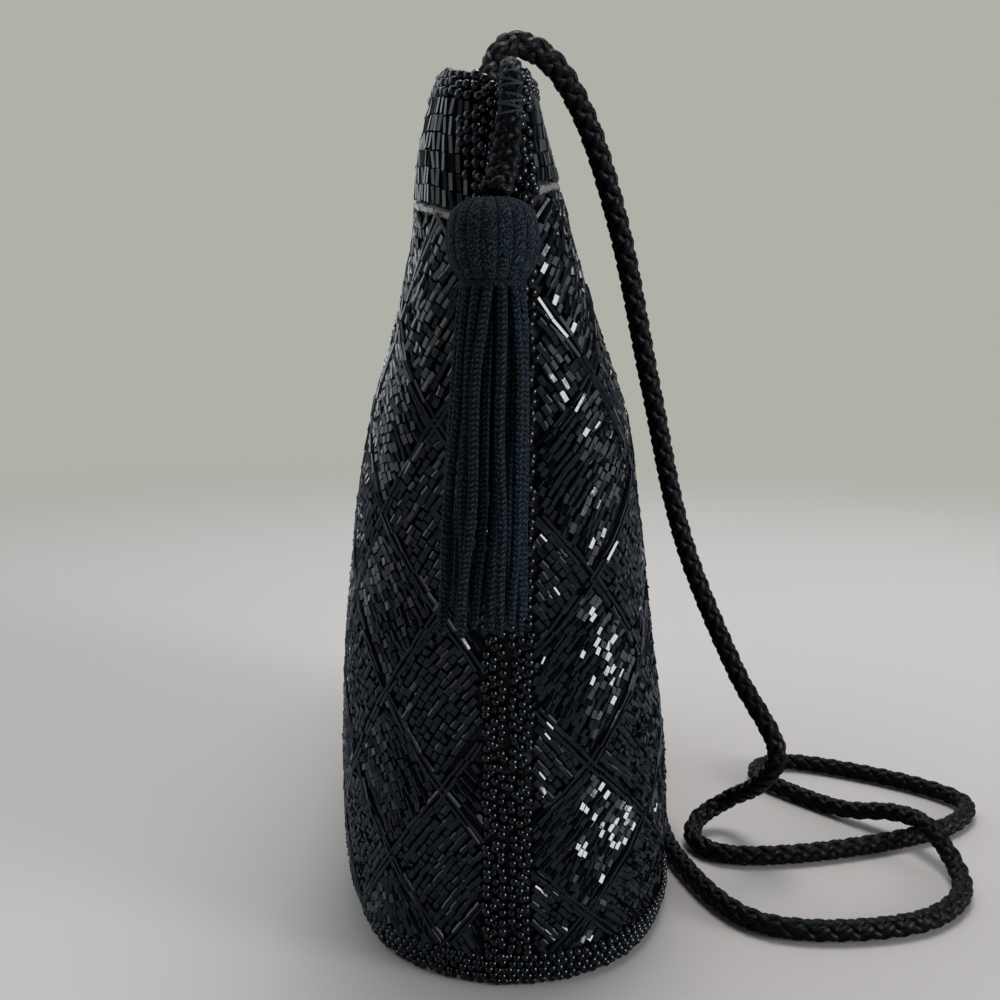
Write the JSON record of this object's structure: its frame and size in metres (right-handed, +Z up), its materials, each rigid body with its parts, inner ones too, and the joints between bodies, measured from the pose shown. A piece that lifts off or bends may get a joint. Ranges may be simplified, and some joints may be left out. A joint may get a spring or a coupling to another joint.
{
  "type": "beaded evening bag",
  "caption": "Soft beaded pouch bag that stands on an oval base, with bead-edged seams and mouth, end tassels and a braided rope strap.",
  "frame": {"origin": "middle of the base, on the surface that the bag stands on", "axes": "+Y along the bag from the near side seam to the far one, +X from the front panel to the back panel, +Z up"},
  "size_m": [0.184, 0.2454, 0.2012],
  "materials": {
    "black_beads": "opaque black glass beads, glossy",
    "silver_beads": "silver-lined grey glass bugles, glossy",
    "black_cloth": "matt woven cloth",
    "black_rope": "satin braid",
    "navy_cord": "matt chainette cord"
  },
  "bodies": {
    "root": {"front_panel": "black_beads", "back_panel": "black_beads", "base_panel": "black_cloth", "base_rim": "black_beads", "near_seam": "black_beads", "far_seam": "black_beads", "front_edging": "black_beads", "back_edging": "black_beads", "front_silver_row": "silver_beads", "back_silver_row": "silver_beads", "strap": "black_rope", "near_tassel_hanger": "black_rope", "far_tassel_hanger": "black_rope", "near_tassel": "navy_cord", "far_tassel": "navy_cord"}
  },
  "joints": []
}
